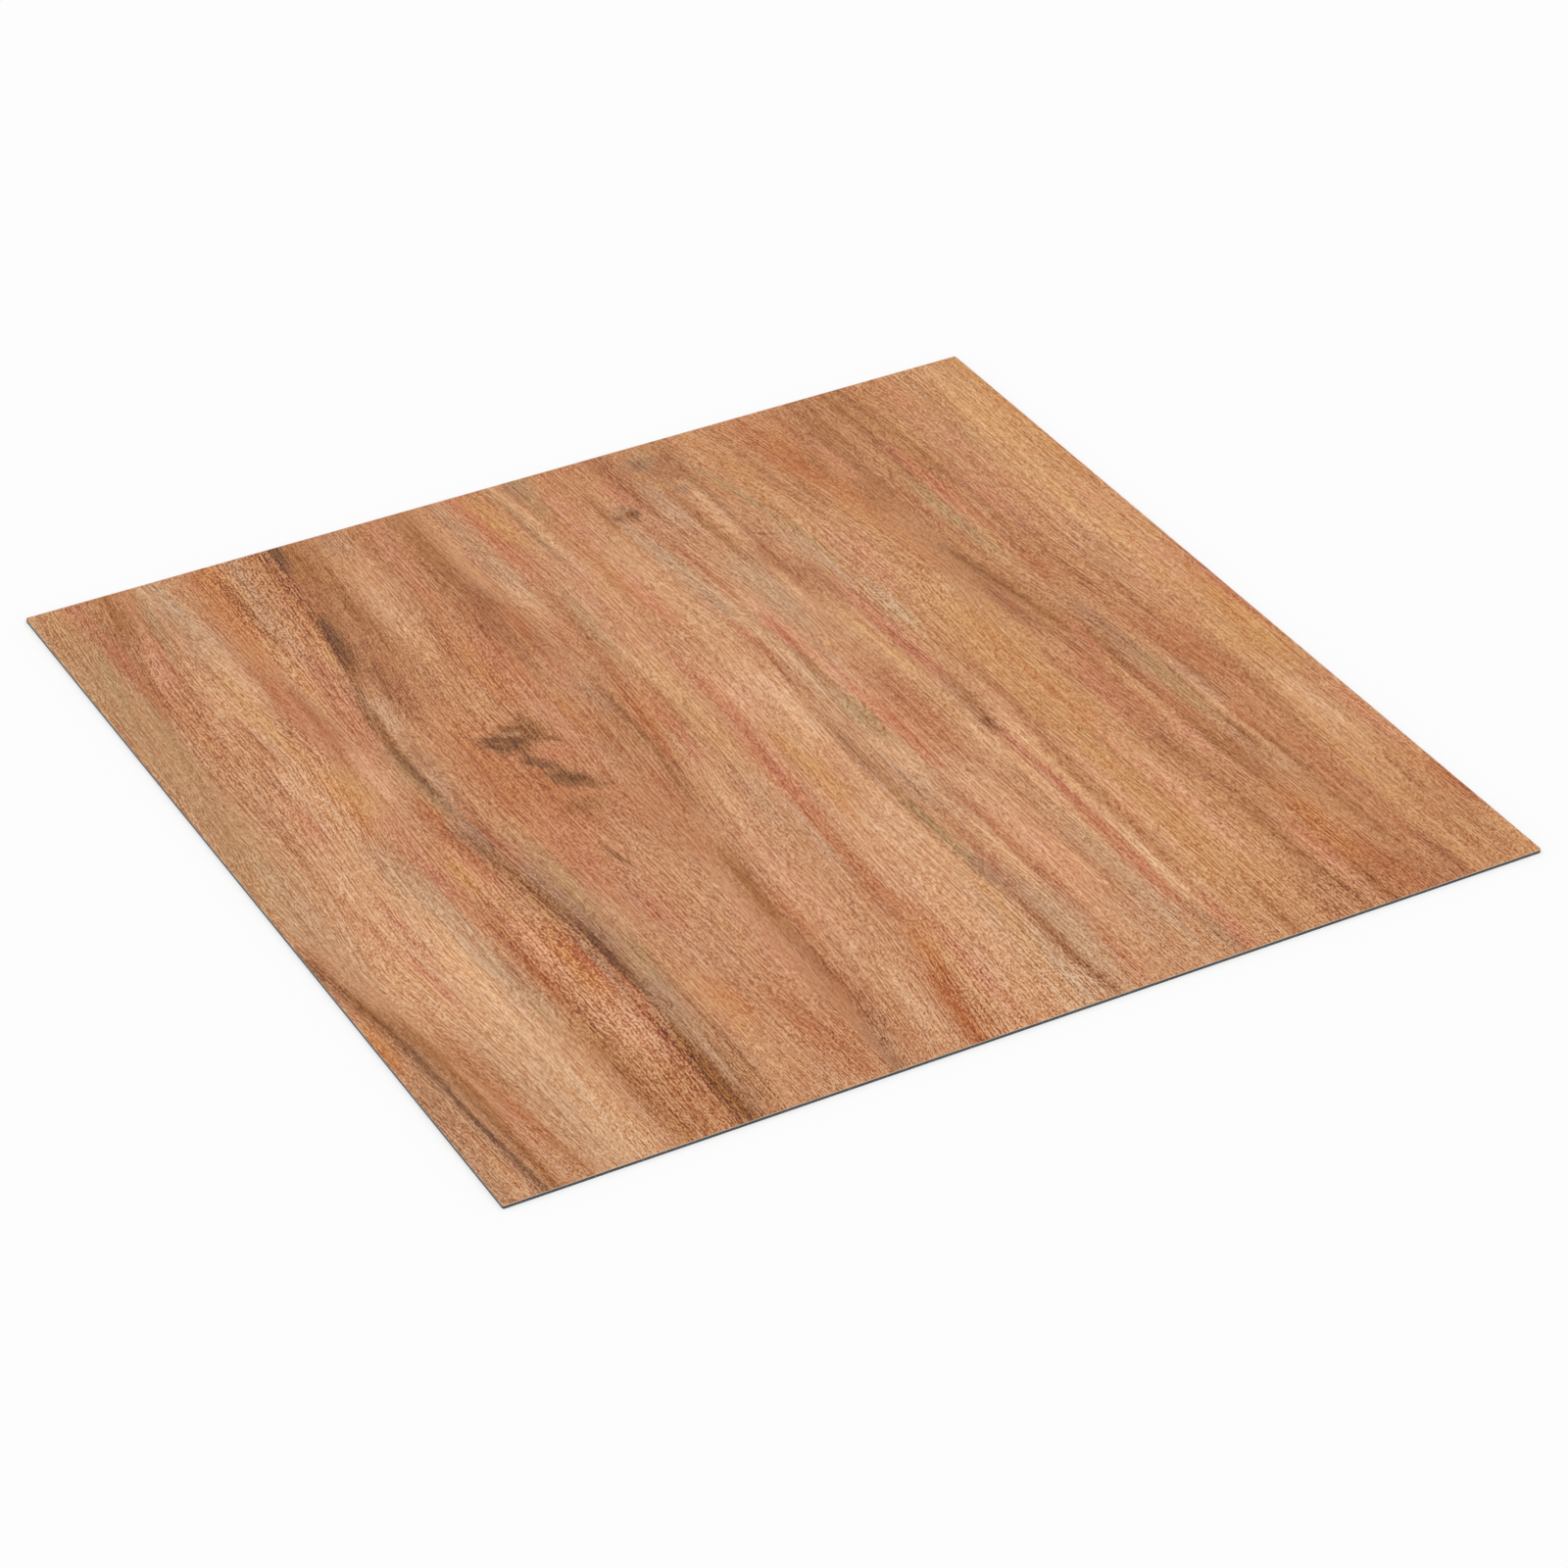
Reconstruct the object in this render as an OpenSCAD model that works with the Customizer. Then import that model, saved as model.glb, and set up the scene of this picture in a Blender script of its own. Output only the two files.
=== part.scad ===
// Square vinyl floor tile: a printed wood-look face laminated to a grey vinyl base.
// Units are millimetres. The origin is the middle of the underside, X runs across the
// printed grain, Y runs along it, and Z points up out of the printed face.

/* [Tile] */
// Width of the tile, across the printed grain
tile_w = 305; // [150:1:610]
// Length of the tile, along the printed grain
tile_l = 305; // [150:1:610]
// Whole thickness, from the glue side to the printed face
tile_t = 1.2; // [1.0:0.1:5.0]

/* [Layers] */
// Thickness of the face layer: the clear wear coat with the printed film under it
face_t = 0.35; // [0.20:0.05:0.70]

/* [Die-cut edge] */
// Radius that the die leaves at the four corners, seen from above
corner_r = 0.5; // [0.2:0.1:3.0]
// Radius of the rim where the die rolls the face over at its edge
rim_r = 0.15; // [0.05:0.05:0.20]

/* [Hidden] */
// Thickness left for the grey base
base_t = tile_t - face_t;
// How far a cutting profile runs past the outline that it shapes
over = 1;
// Sides that draw a full circle
circle_sides = 48;

// Outline of the tile seen from above: a rectangle with round corners
module tile_outline() {
    square([tile_w - 2 * corner_r, tile_l], center = true);
    square([tile_w, tile_l - 2 * corner_r], center = true);
    for (x = [-1, 1], y = [-1, 1])
        translate([x * (tile_w / 2 - corner_r), y * (tile_l / 2 - corner_r)])
            circle(r = corner_r, $fn = circle_sides);
}

// Cross-section of the face layer for a tile of the given span: square below, with a
// quarter round of rim_r at each upper edge. It stands on y = 0.
module rolled_section(span) {
    translate([-span / 2, 0])
        square([span, face_t - rim_r]);
    translate([rim_r - span / 2, 0])
        square([span - 2 * rim_r, face_t]);
    for (side = [-1, 1])
        translate([side * (span / 2 - rim_r), face_t - rim_r])
            circle(r = rim_r, $fn = circle_sides);
}

// The same section drawn out into a bar that lies along Y, standing on z = 0
module rolled_bar(span, run) {
    translate([0, run / 2, 0])
        rotate([90, 0, 0])
            linear_extrude(height = run)
                rolled_section(span);
}

// Face layer: the outline, with its rim rolled over along all four sides
module printed_face() {
    color([0.757, 0.545, 0.396])
        translate([0, 0, base_t])
            intersection() {
                linear_extrude(height = face_t)
                    tile_outline();
                rolled_bar(tile_w, tile_l + 2 * over);
                rotate([0, 0, 90])
                    rolled_bar(tile_l, tile_w + 2 * over);
            }
}

// Base layer: the grey filled vinyl that carries the print and is glued down
module grey_base() {
    color([0.33, 0.34, 0.35])
        linear_extrude(height = base_t)
            tile_outline();
}

printed_face();
grey_base();
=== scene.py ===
"""Looks of a vinyl floor tile: an embossed wood print over a dark grey vinyl base.

Objects are in metres, in the frame of the CAD model: X runs across the printed grain, Y runs
along it and Z points up. The wood print is drawn in its own millimetres: "across" counts from
the left edge of the face and "along" from its front edge.
"""

import math

import bpy
import numpy as np
from mathutils import Matrix, Vector


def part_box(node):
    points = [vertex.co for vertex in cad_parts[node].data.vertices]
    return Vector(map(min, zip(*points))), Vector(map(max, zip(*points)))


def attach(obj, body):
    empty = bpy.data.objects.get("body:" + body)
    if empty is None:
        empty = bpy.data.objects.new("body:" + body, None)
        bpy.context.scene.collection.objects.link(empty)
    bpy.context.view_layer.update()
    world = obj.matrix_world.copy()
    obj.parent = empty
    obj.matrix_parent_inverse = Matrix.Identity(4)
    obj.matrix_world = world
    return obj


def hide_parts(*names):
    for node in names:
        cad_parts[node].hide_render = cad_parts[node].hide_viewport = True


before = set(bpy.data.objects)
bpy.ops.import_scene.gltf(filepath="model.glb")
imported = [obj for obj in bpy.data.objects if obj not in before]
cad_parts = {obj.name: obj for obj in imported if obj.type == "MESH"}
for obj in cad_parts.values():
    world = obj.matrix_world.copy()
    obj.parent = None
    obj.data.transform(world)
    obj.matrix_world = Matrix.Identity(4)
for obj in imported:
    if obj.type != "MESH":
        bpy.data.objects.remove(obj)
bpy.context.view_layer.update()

MM = 0.001

# Sizes of the tile, from the frame
face_low, face_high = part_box("printed_face")
TILE_WIDTH = face_high.x - face_low.x
TILE_LENGTH = face_high.y - face_low.y
PRINT_WIDTH = TILE_WIDTH / MM
PRINT_LENGTH = TILE_LENGTH / MM

# The die-cut edge, as in the CAD model
CORNER_RADIUS = 0.5
RIM_RADIUS = 0.15
RIM_STEPS = 3
CORNER_STEPS = 3

# Pitch of the embossed grid, in millimetres
PITCH_ACROSS = 0.62
PITCH_ALONG = 1.8

# Deepest embossed groove, and the plain margin that the die presses flat, in millimetres
EMBOSS_DEPTH = 0.07
EMBOSS_MARGIN = 1.5
SEED = 7

# How far the random noise reaches past the tile, in millimetres
NOISE_MARGIN = 30

# Longest stretch over which a streak of the print fades out past its end, in millimetres
FADE_LONGEST = 22

# How far a streak's colour carries to its sides, in half widths, and how strong it is there
STREAK_SPREAD = 1.5
STREAK_STRENGTH = 0.92

# How far the whole figure is carried away from the plain ground
FIGURE_CONTRAST = 1.12

# White sheen that the satin coat lays over the print, and how strongly the lamps show a colour
COAT_VEIL = 0.042
LAMP_GAIN = 0.96
COAT_SPECULAR = 0.3

# Camera, fitted to the four corners of the tile in the photograph
CAMERA_YAW = math.radians(-28.508)
CAMERA_ELEVATION = math.radians(33.980)
CAMERA_ROLL = math.radians(-0.605)
CAMERA_DISTANCE = 1.3947
CAMERA_LENS = 119.03
CAMERA_TARGET = Vector((-0.00634, -0.02715, face_high.z))

# Light: the world and the key lamp together show a white surface as white
WORLD_LEVEL = 0.62
KEY_SHARE = 0.38
KEY_ELEVATION = math.radians(62)
KEY_AZIMUTH = math.radians(-150)
KEY_SOFTNESS = math.radians(50)
BACKGROUND_LEVEL = 0.982

# Colours of the print, as red, green and blue from 0 to 255
TINTS = {
    "ground": (195, 141, 103),
    "soot": (124, 83, 60),
    "bark": (142, 92, 62),
    "slate": (159, 119, 93),
    "plum": (167, 108, 75),
    "umber": (164, 108, 71),
    "brown": (179, 121, 83),
    "rust": (177, 110, 74),
    "brick": (190, 120, 88),
    "orange": (190, 124, 78),
    "gold": (200, 143, 91),
    "olive": (177, 138, 97),
    "ash": (193, 153, 119),
    "rose": (201, 138, 105),
    "blush": (214, 155, 119),
    "wheat": (207, 155, 109),
    "cream": (218, 169, 128),
}

# Lines that the grain follows: where each fibre lies across, at these places along the print
FLOW_ALONG = (0, 50, 100, 150, 200, 250, 305)
FLOW_LINES = (
    (-9, -12, -16, -22, -17, -16, -12),
    (11, 8, 4, -2, 3, 4, 8),
    (24, 17, 10, 15, 13, 15, 24),
    (37, 37, 35, 37, 45, 41, 36),
    (51, 50, 50, 52, 53, 52, 54),
    (67, 70, 68, 63, 62, 71, 76),
    (90, 88, 87, 87, 86, 90, 94),
    (109, 108, 108, 106, 109, 113, 112),
    (109.5, 115, 118, 124, 127, 124, 122),
    (133, 141, 144, 148, 149, 150, 146),
    (174, 173, 171, 174, 178, 171, 170),
    (211, 210, 211, 211, 209, 212, 203),
    (233, 233, 232, 231, 238, 232, 222),
    (263, 261, 257, 255, 247, 248, 246),
    (276, 273, 272, 271, 264, 267, 263),
    (292, 292, 292, 292, 291, 290, 291),
    (305, 305, 305, 305, 305, 305, 305),
)

# The figure of the wood. Each streak is its tint, its half width, its strength and the points
# (across, along) that it runs through; it fades out towards both ends.
STREAKS = (
    # Broad soft bands
    ("wheat", 30, 0.22, (235, 335), (235, -30)),
    ("gold", 26, 0.3, (264, 335), (262, -30)),
    ("orange", 110, 0.45, (130, 345), (130, 276)),
    ("rose", 14, 0.4, (296, 290), (296, -30)),
    ("orange", 12, 0.25, (90, 280), (90, 205)),
    ("brown", 22, 0.22, (40, 325), (40, 185)),
    ("olive", 6, 0.5, (4, 305), (4, 250), (6, 190), (5, 130)),
    ("cream", 8, 0.35, (32, 250), (34, 190), (34, 140), (30, 90)),
    ("cream", 6, 0.9, (34, 115), (35, 85), (36, 60), (37, 30), (36, -10)),
    ("brown", 8, 0.45, (73, 315), (74, 270), (76, 230)),
    ("orange", 10, 0.5, (82, 205), (84, 170), (86, 135)),
    ("brown", 8, 0.4, (108, 315), (108, 270), (110, 230), (112, 150)),
    ("blush", 8, 0.3, (146, 260), (146, 230), (143, 190)),
    ("blush", 10, 0.3, (160, 190), (160, 150), (156, 90), (155, 20)),
    ("gold", 8, 0.6, (229, 190), (230, 140), (228, 80), (228, 20)),
    ("brown", 9, 0.5, (246, 315), (246, 260), (250, 200)),
    ("brown", 12, 0.45, (266, 310), (266, 240), (264, 150), (266, 70), (266, -10)),
    ("gold", 8, 0.7, (296, 315), (295, 240), (294, 150), (294, 60), (294, -10)),
    ("wheat", 7, 0.5, (293, 315), (292, 240), (291, 150), (291, 60), (291, -10)),
    ("brown", 8, 0.45, (55, 110), (55, 60), (56, 20), (56, -10)),
    ("gold", 4, 0.4, (155, 255), (157, 215)),
    ("wheat", 4, 0.5, (162, 265), (165, 220), (164, 180)),
    ("umber", 4, 0.5, (84, 300), (84, 260), (85, 215)),
    ("plum", 2.5, 0.4, (63, 292), (62, 265), (61, 235)),
    ("orange", 3, 0.4, (71, 290), (70, 265), (69, 245)),
    ("brown", 4, 0.6, (114, 252), (115, 235), (116, 215)),
    ("plum", 2, 0.4, (127, 300), (127, 262)),
    ("rust", 3, 0.6, (79, 185), (79.5, 165), (79, 145)),
    ("rust", 3, 0.4, (112, 150), (113, 125), (112, 100)),
    ("cream", 8, 0.5, (160, 110), (160, 60), (164, -10)),
    ("ash", 3, 0.7, (167, 60), (166, 20), (166, -10)),
    ("ash", 3, 0.6, (178, 200), (179, 150), (181, 90)),
    ("cream", 3, 0.6, (188, 160), (189, 120), (190, 85)),
    ("wheat", 2, 0.6, (193, 250), (194, 225)),
    ("cream", 7, 0.4, (22, 160), (20, 110), (18, 60)),
    ("ash", 4, 0.4, (8, 160), (8, 125), (10, 100)),
    ("ash", 6, 0.4, (30, 60), (30, -10)),
    ("brown", 4, 0.6, (296, 120), (296, 50), (296, -10)),
    ("rose", 3, 0.5, (287, 220), (287, 150)),
    ("gold", 3, 0.7, (260, 300), (265, 270), (267, 240)),
    ("rust", 3, 0.5, (112, 45), (111, 0)),
    ("gold", 3, 0.4, (147, 50), (146, -10)),
    ("blush", 3, 0.4, (84, 60), (86, 20)),
    ("ash", 2, 0.8, (87, 105), (88.5, 80)),
    ("ash", 3, 0.4, (207, 210), (207, 150)),
    ("wheat", 3, 0.6, (258, 250), (259, 215), (259, 180)),
    ("slate", 3, 0.4, (1, 60), (1, -10)),
    # Upper left
    ("bark", 1.0, 0.7, (13, 294), (14.5, 270), (16, 250)),
    ("umber", 1.2, 0.6, (23, 302), (20, 276)),
    ("plum", 1.2, 0.6, (32, 298), (30, 275)),
    ("umber", 1.2, 0.6, (55.5, 302), (56, 270)),
    ("rust", 1.5, 0.5, (60, 296), (60.5, 258)),
    ("olive", 1.2, 0.8, (59, 245), (60, 225)),
    ("wheat", 1.0, 0.8, (66.2, 250), (66.8, 236)),
    ("umber", 1.0, 0.6, (77, 285), (77, 250)),
    ("plum", 1.6, 0.8, (76.5, 235), (77, 208)),
    ("plum", 1.2, 0.7, (66.5, 180), (67, 150)),
    ("brown", 1.5, 0.5, (43, 240), (41, 205)),
    ("ash", 1.5, 0.5, (35, 245), (38, 212)),
    ("plum", 2.0, 0.5, (30, 226), (31, 203)),
    ("umber", 1.4, 0.6, (50, 235), (49, 190)),
    ("cream", 2.5, 0.35, (88, 285), (91, 240)),
    ("slate", 4.0, 0.5, (94, 306), (94, 290)),
    ("bark", 2.4, 0.45, (16, 302), (16.5, 282), (15, 260)),
    ("brick", 1.5, 0.8, (12.5, 315), (14, 285), (15.5, 268), (15, 245)),
    ("olive", 1.0, 0.7, (13, 287), (10, 272), (8, 255), (6, 240)),
    ("umber", 1.5, 0.9, (23, 315), (23.5, 290), (22, 275), (19, 265), (16.5, 250), (15, 240)),
    ("olive", 1.1, 0.8, (32, 300), (31, 285), (29, 268)),
    ("rose", 2.5, 0.7, (24, 278), (23, 262), (21, 250)),
    ("plum", 0.7, 0.7, (25.5, 268), (26, 255), (25, 238)),
    ("olive", 1.0, 0.8, (12, 250), (11.5, 235), (10.5, 205)),
    ("rust", 3.0, 0.5, (19, 250), (21, 238), (22, 225)),
    ("brown", 1.0, 0.9, (20, 232), (22, 215), (24, 195)),
    ("cream", 2.0, 0.4, (30, 252), (31, 235), (34, 218), (35, 200)),
    ("gold", 1.5, 0.7, (36, 255), (35, 235), (38, 205)),
    ("cream", 0.8, 1.0, (33.5, 315), (34, 288)),
    ("ash", 3.0, 0.9, (37.5, 315), (38, 285), (38.5, 258)),
    ("cream", 2.0, 0.6, (40, 270), (40, 245), (41, 228)),
    ("rust", 1.1, 0.7, (47, 250), (45.5, 235), (44.5, 218)),
    ("brick", 3.0, 0.6, (47, 235), (48, 215), (47, 195)),
    ("orange", 3.5, 0.9, (54, 315), (52, 280), (52, 262), (50, 248)),
    ("umber", 1.0, 0.7, (56.5, 290), (56.5, 265), (57, 250)),
    ("ash", 2.0, 0.7, (63, 315), (61, 285), (59, 268), (60, 252)),
    ("wheat", 0.8, 0.8, (63, 270), (63.5, 245)),
    ("wheat", 1.5, 0.9, (55.5, 250), (55, 235), (54, 220)),
    ("brick", 2.5, 0.7, (60, 248), (59, 225), (58, 195)),
    # The long dark streak, from the back edge to the front
    ("umber", 2.0, 0.7, (70, 310), (71, 280)),
    ("umber", 2.6, 0.8, (80, 308), (79.5, 280)),
    ("soot", 1.5, 1.2, (76, 316), (76, 299), (75.5, 292)),
    ("plum", 3.0, 0.9, (72, 292), (73, 272), (73, 255)),
    ("umber", 1.3, 0.8, (84, 300), (83, 275), (83, 245)),
    ("soot", 1.5, 1.3, (72.8, 263), (71.8, 252), (70.5, 243), (69, 236)),
    ("bark", 1.0, 0.8, (69.5, 240), (67.5, 230), (65.5, 222), (63.5, 212), (62, 202)),
    ("bark", 1.8, 0.6, (73.2, 250), (73, 235), (73, 222), (73, 205)),
    ("plum", 1.2, 0.7, (74, 222), (74.5, 202)),
    ("plum", 2.0, 0.5, (77, 250), (78, 225)),
    ("ash", 2.0, 0.7, (67.5, 218), (67, 198)),
    ("bark", 1.0, 1.2, (63.6, 208), (62, 195), (61.7, 183), (62.3, 172), (62.6, 163)),
    ("soot", 1.0, 1.0, (61.6, 190), (61.8, 178), (62.4, 164)),
    ("slate", 0.9, 0.9, (62.3, 168), (62.9, 155), (64, 142)),
    ("ash", 2.0, 0.6, (66, 195), (66.5, 178), (65.3, 162)),
    ("olive", 1.2, 0.7, (59.5, 190), (60, 170), (60.7, 150)),
    ("plum", 1.0, 0.7, (66.5, 195), (66.5, 180)),
    ("rust", 2.0, 0.9, (57, 168), (57.5, 155), (57.3, 135)),
    ("brick", 2.0, 0.8, (55, 140), (56, 118)),
    ("slate", 2.0, 0.8, (64.5, 150), (65, 136)),
    ("blush", 1.2, 0.8, (61.4, 154), (62, 142)),
    ("bark", 1.6, 0.8, (61, 146), (62.3, 130), (64, 117), (66, 104)),
    ("slate", 2.6, 0.7, (66, 134), (69, 118), (71, 106), (72.5, 88), (73, 70)),
    ("soot", 1.1, 1.1, (66.8, 108), (68.2, 94), (69.6, 80), (70.2, 66), (70.2, 50)),
    ("olive", 1.5, 0.7, (74, 135), (74.5, 115), (74.5, 95)),
    ("olive", 1.5, 0.9, (76, 84), (76, 60)),
    ("ash", 3.0, 0.8, (74, 62), (74, 35), (74, 10)),
    ("soot", 0.9, 1.0, (65.8, 60), (66.2, 42), (67, 30), (67.2, 10)),
    ("bark", 2.3, 1.15, (67.8, 44), (67.8, 25), (67.8, -12)),
    ("umber", 0.7, 0.7, (78.5, 68), (78, 30), (77.5, 0)),
    ("rust", 1.5, 0.9, (66.8, 70), (66.5, 48)),
    # Middle left
    ("plum", 1.0, 0.6, (16.5, 202), (17, 182), (19, 168), (18.5, 145)),
    ("brown", 0.9, 0.7, (27, 202), (26.5, 185), (27, 172)),
    ("rose", 2.0, 0.8, (26, 184), (27, 162)),
    ("cream", 1.5, 0.7, (32, 196), (33.5, 175)),
    ("orange", 1.3, 0.8, (40, 182), (40, 160), (41.5, 145), (42.5, 130)),
    ("gold", 3.0, 0.7, (43, 192), (44, 168)),
    ("brick", 2.5, 0.6, (46, 165), (45, 140), (46, 112)),
    ("blush", 1.6, 0.9, (52, 200), (51.5, 172)),
    ("ash", 2.0, 0.7, (36, 152), (37, 138), (40, 108)),
    ("gold", 1.2, 0.8, (52, 136), (51.5, 120)),
    ("brown", 0.8, 0.6, (20, 134), (21, 118), (23, 100)),
    ("rose", 1.2, 0.7, (28, 130), (28, 100)),
    # Lower left
    ("bark", 0.5, 0.8, (10.5, 62), (12, 40), (14, 12), (15, -12)),
    ("blush", 1.5, 0.5, (20, 125), (22, 95)),
    ("umber", 0.8, 0.6, (21, 60), (22.5, 35)),
    ("ash", 1.2, 0.8, (41.5, 152), (43, 100)),
    ("umber", 1.4, 0.5, (51, 108), (50.5, 78)),
    ("wheat", 1.2, 0.6, (54, 138), (56, 104)),
    ("wheat", 1.0, 0.6, (57, 66), (57, 30)),
    ("umber", 1.6, 0.6, (63, 132), (64, 105)),
    ("slate", 1.5, 0.7, (60, 152), (62, 136)),
    ("rust", 1.2, 0.7, (66, 152), (67.5, 128)),
    ("slate", 1.0, 0.7, (65, 88), (66, 62)),
    ("slate", 1.8, 0.5, (73, 68), (73, 45)),
    ("brick", 1.0, 0.6, (65.5, 58), (64.5, 15)),
    ("umber", 1.2, 0.6, (75, 48), (75, 0)),
    ("plum", 2.0, 0.5, (0, 122), (2, 105)),
    ("bark", 1.0, 0.6, (-0.5, 118), (0.5, 104)),
    ("bark", 1.5, 1.0, (1.5, 107), (4, 92), (6, 80), (7.4, 70), (8.5, 56)),
    ("slate", 1.4, 0.7, (7, 66), (7.6, 50), (8.5, 40), (9.8, 22), (11.5, -12)),
    ("soot", 0.5, 1.0, (7.5, 60), (8.8, 35), (10.2, 20), (12, -12)),
    ("umber", 1.6, 0.8, (9, 82), (11.5, 68), (14.5, 56)),
    ("umber", 1.0, 0.9, (10.5, 66), (13, 50), (14, 30), (14.5, -5)),
    ("brown", 1.3, 0.9, (17, 68), (18, 45), (20.5, 28), (23, 8), (24, -10)),
    ("brick", 2.0, 0.4, (18, 38), (18.5, 14)),
    ("orange", 1.5, 0.8, (1, 82), (1.5, 60)),
    ("rose", 0.8, 0.9, (24, 104), (25.8, 80)),
    ("cream", 1.4, 0.9, (33.5, 104), (35, 86), (36, 60)),
    ("ash", 2.6, 0.9, (41, 98), (43, 80), (45, 58)),
    ("plum", 0.7, 0.6, (44.5, 94), (44.5, 72)),
    ("rust", 2.1, 0.8, (50, 112), (51, 85), (51, 66)),
    ("umber", 1.9, 0.7, (49.5, 62), (49.5, 45), (50.5, 20), (51, -12)),
    ("blush", 2.0, 0.9, (55, 104), (56, 74)),
    ("orange", 2.1, 0.9, (61, 98), (60, 78), (60, 62)),
    ("blush", 3.0, 0.7, (58, 64), (60.5, 34)),
    ("brown", 4.5, 0.8, (58, 36), (58, -12)),
    ("brick", 1.0, 0.7, (62.5, 92), (64, 68)),
    # Left of the middle, below the big knot
    ("umber", 1.2, 0.5, (86.5, 128), (88, 102)),
    ("rust", 3.0, 0.5, (106, 152), (107, 128)),
    ("brick", 4.5, 0.6, (84, 145), (84, 120), (86, 100)),
    ("rust", 5.0, 0.5, (91, 165), (93, 145), (94, 130)),
    ("bark", 0.5, 1.1, (90.4, 123), (91.4, 118), (92.8, 112)),
    ("brick", 2.6, 0.7, (88, 100), (89, 80)),
    ("gold", 2.0, 0.4, (81, 62), (85, 40), (86, 18)),
    ("orange", 2.0, 0.7, (88, 56), (89, 34)),
    ("rust", 2.6, 0.4, (97, 50), (98, 30), (99, 8)),
    ("cream", 3.0, 0.4, (95, 300), (93, 270), (91, 245), (89, 222)),
    ("cream", 1.0, 0.7, (98.5, 290), (97.5, 265)),
    ("plum", 1.2, 0.5, (97, 242), (96.5, 218)),
    # Upper middle
    ("brown", 2.0, 0.5, (105, 290), (105, 250)),
    ("brick", 1.2, 0.6, (127, 300), (122, 262)),
    ("orange", 0.8, 0.8, (128, 300), (128.5, 265)),
    ("plum", 1.0, 0.5, (139, 292), (138, 264)),
    ("brick", 0.8, 0.8, (144.5, 300), (147, 250)),
    ("rust", 3.0, 0.6, (127, 240), (127, 212)),
    ("umber", 1.4, 0.5, (113, 240), (112, 205)),
    ("brick", 1.2, 0.5, (120, 218), (118, 192)),
    ("rust", 0.9, 0.7, (136.5, 218), (135.5, 190)),
    ("umber", 1.4, 0.6, (121, 184), (122, 160)),
    ("ash", 2.5, 0.5, (133, 176), (133, 152)),
    ("brown", 2.5, 0.6, (101, 305), (101, 240)),
    ("orange", 2.5, 0.8, (102, 238), (101, 200)),
    ("rose", 1.6, 0.7, (106, 305), (105, 258)),
    ("umber", 2.2, 0.8, (115, 310), (115, 285), (115.5, 268), (114, 250)),
    ("umber", 1.4, 0.7, (111, 286), (111, 256)),
    ("bark", 1.8, 0.7, (118, 254), (117, 246), (115, 232)),
    ("plum", 4.0, 1.1, (114.5, 254), (113.5, 240), (115, 222)),
    ("rust", 1.3, 0.8, (120.5, 244), (119, 220)),
    ("brick", 3.0, 0.5, (106, 236), (107, 200)),
    ("wheat", 1.5, 0.6, (122, 310), (123, 285), (121, 262)),
    ("ash", 2.6, 0.7, (128, 312), (128, 280), (130, 262), (131.5, 245)),
    ("cream", 2.0, 0.6, (125.5, 256), (127.5, 245), (128.5, 238), (126, 226)),
    ("brick", 2.0, 0.8, (132.5, 312), (134, 285), (135, 262), (135, 248)),
    ("gold", 2.0, 1.0, (138, 300), (138.5, 283), (139.5, 272)),
    ("olive", 1.0, 0.8, (143.5, 308), (146, 285), (146.5, 256)),
    ("cream", 1.2, 0.6, (146, 308), (148, 285), (148.5, 268), (150.5, 248)),
    ("brown", 1.5, 0.8, (134.3, 248), (134.5, 230), (131.5, 206), (131, 185)),
    ("olive", 1.5, 0.6, (138.5, 240), (137, 215), (136, 196)),
    ("olive", 2.2, 0.8, (155, 312), (154, 280)),
    ("slate", 2.0, 0.5, (151, 310), (151, 292)),
    ("orange", 2.0, 0.6, (155, 280), (155, 248), (154, 215)),
    ("rose", 1.5, 0.8, (158, 294), (159, 258)),
    ("rose", 1.5, 1.0, (158, 242), (158.5, 214)),
    ("cream", 2.5, 0.5, (164, 250), (165, 225), (165, 195)),
    # Upper right of the middle
    ("plum", 2.0, 0.6, (183, 294), (184, 272)),
    ("brick", 1.0, 0.7, (187, 278), (186.5, 252)),
    ("wheat", 1.0, 0.5, (190, 262), (191, 245)),
    ("bark", 0.9, 0.8, (199, 292), (200.5, 248)),
    ("blush", 1.0, 0.6, (204.5, 294), (206, 272)),
    ("plum", 1.0, 0.7, (208, 280), (211.5, 250)),
    ("olive", 1.0, 0.5, (177.5, 205), (178, 175)),
    ("cream", 0.9, 0.6, (181.5, 212), (182.5, 185)),
    ("plum", 1.0, 0.5, (197.5, 216), (197.5, 202)),
    ("blush", 3.0, 0.4, (165, 190), (161, 160)),
    ("umber", 1.0, 0.8, (168.3, 286), (168.6, 266)),
    ("ash", 1.3, 1.1, (170.8, 262), (172.5, 245), (174.8, 225), (176.3, 208)),
    ("slate", 0.8, 0.5, (172.8, 226), (174.4, 206)),
    ("rust", 0.6, 0.9, (177, 254), (179, 236), (180.5, 220)),
    ("plum", 2.6, 0.9, (181, 314), (181, 292), (183.5, 276)),
    ("brick", 1.5, 0.7, (176, 292), (178, 272)),
    ("plum", 0.8, 0.7, (180, 284), (182, 265), (184, 248)),
    ("ash", 2.0, 0.7, (186, 284), (188, 255)),
    ("olive", 4.0, 0.6, (194, 304), (195, 280)),
    ("umber", 1.8, 0.9, (200, 302), (200, 285), (200.8, 268)),
    ("umber", 1.3, 0.8, (191.3, 279), (191.8, 258), (193.3, 240), (193, 226)),
    ("cream", 1.5, 0.8, (198.3, 278), (198, 250), (196.5, 235)),
    ("plum", 2.6, 0.7, (200.8, 245), (200, 230), (200, 214)),
    ("ash", 3.0, 0.8, (188.5, 234), (190, 212), (190, 194)),
    ("cream", 1.0, 0.8, (197, 222), (196.5, 196)),
    ("cream", 1.1, 0.9, (176.5, 214), (177.5, 186), (178, 166)),
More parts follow.
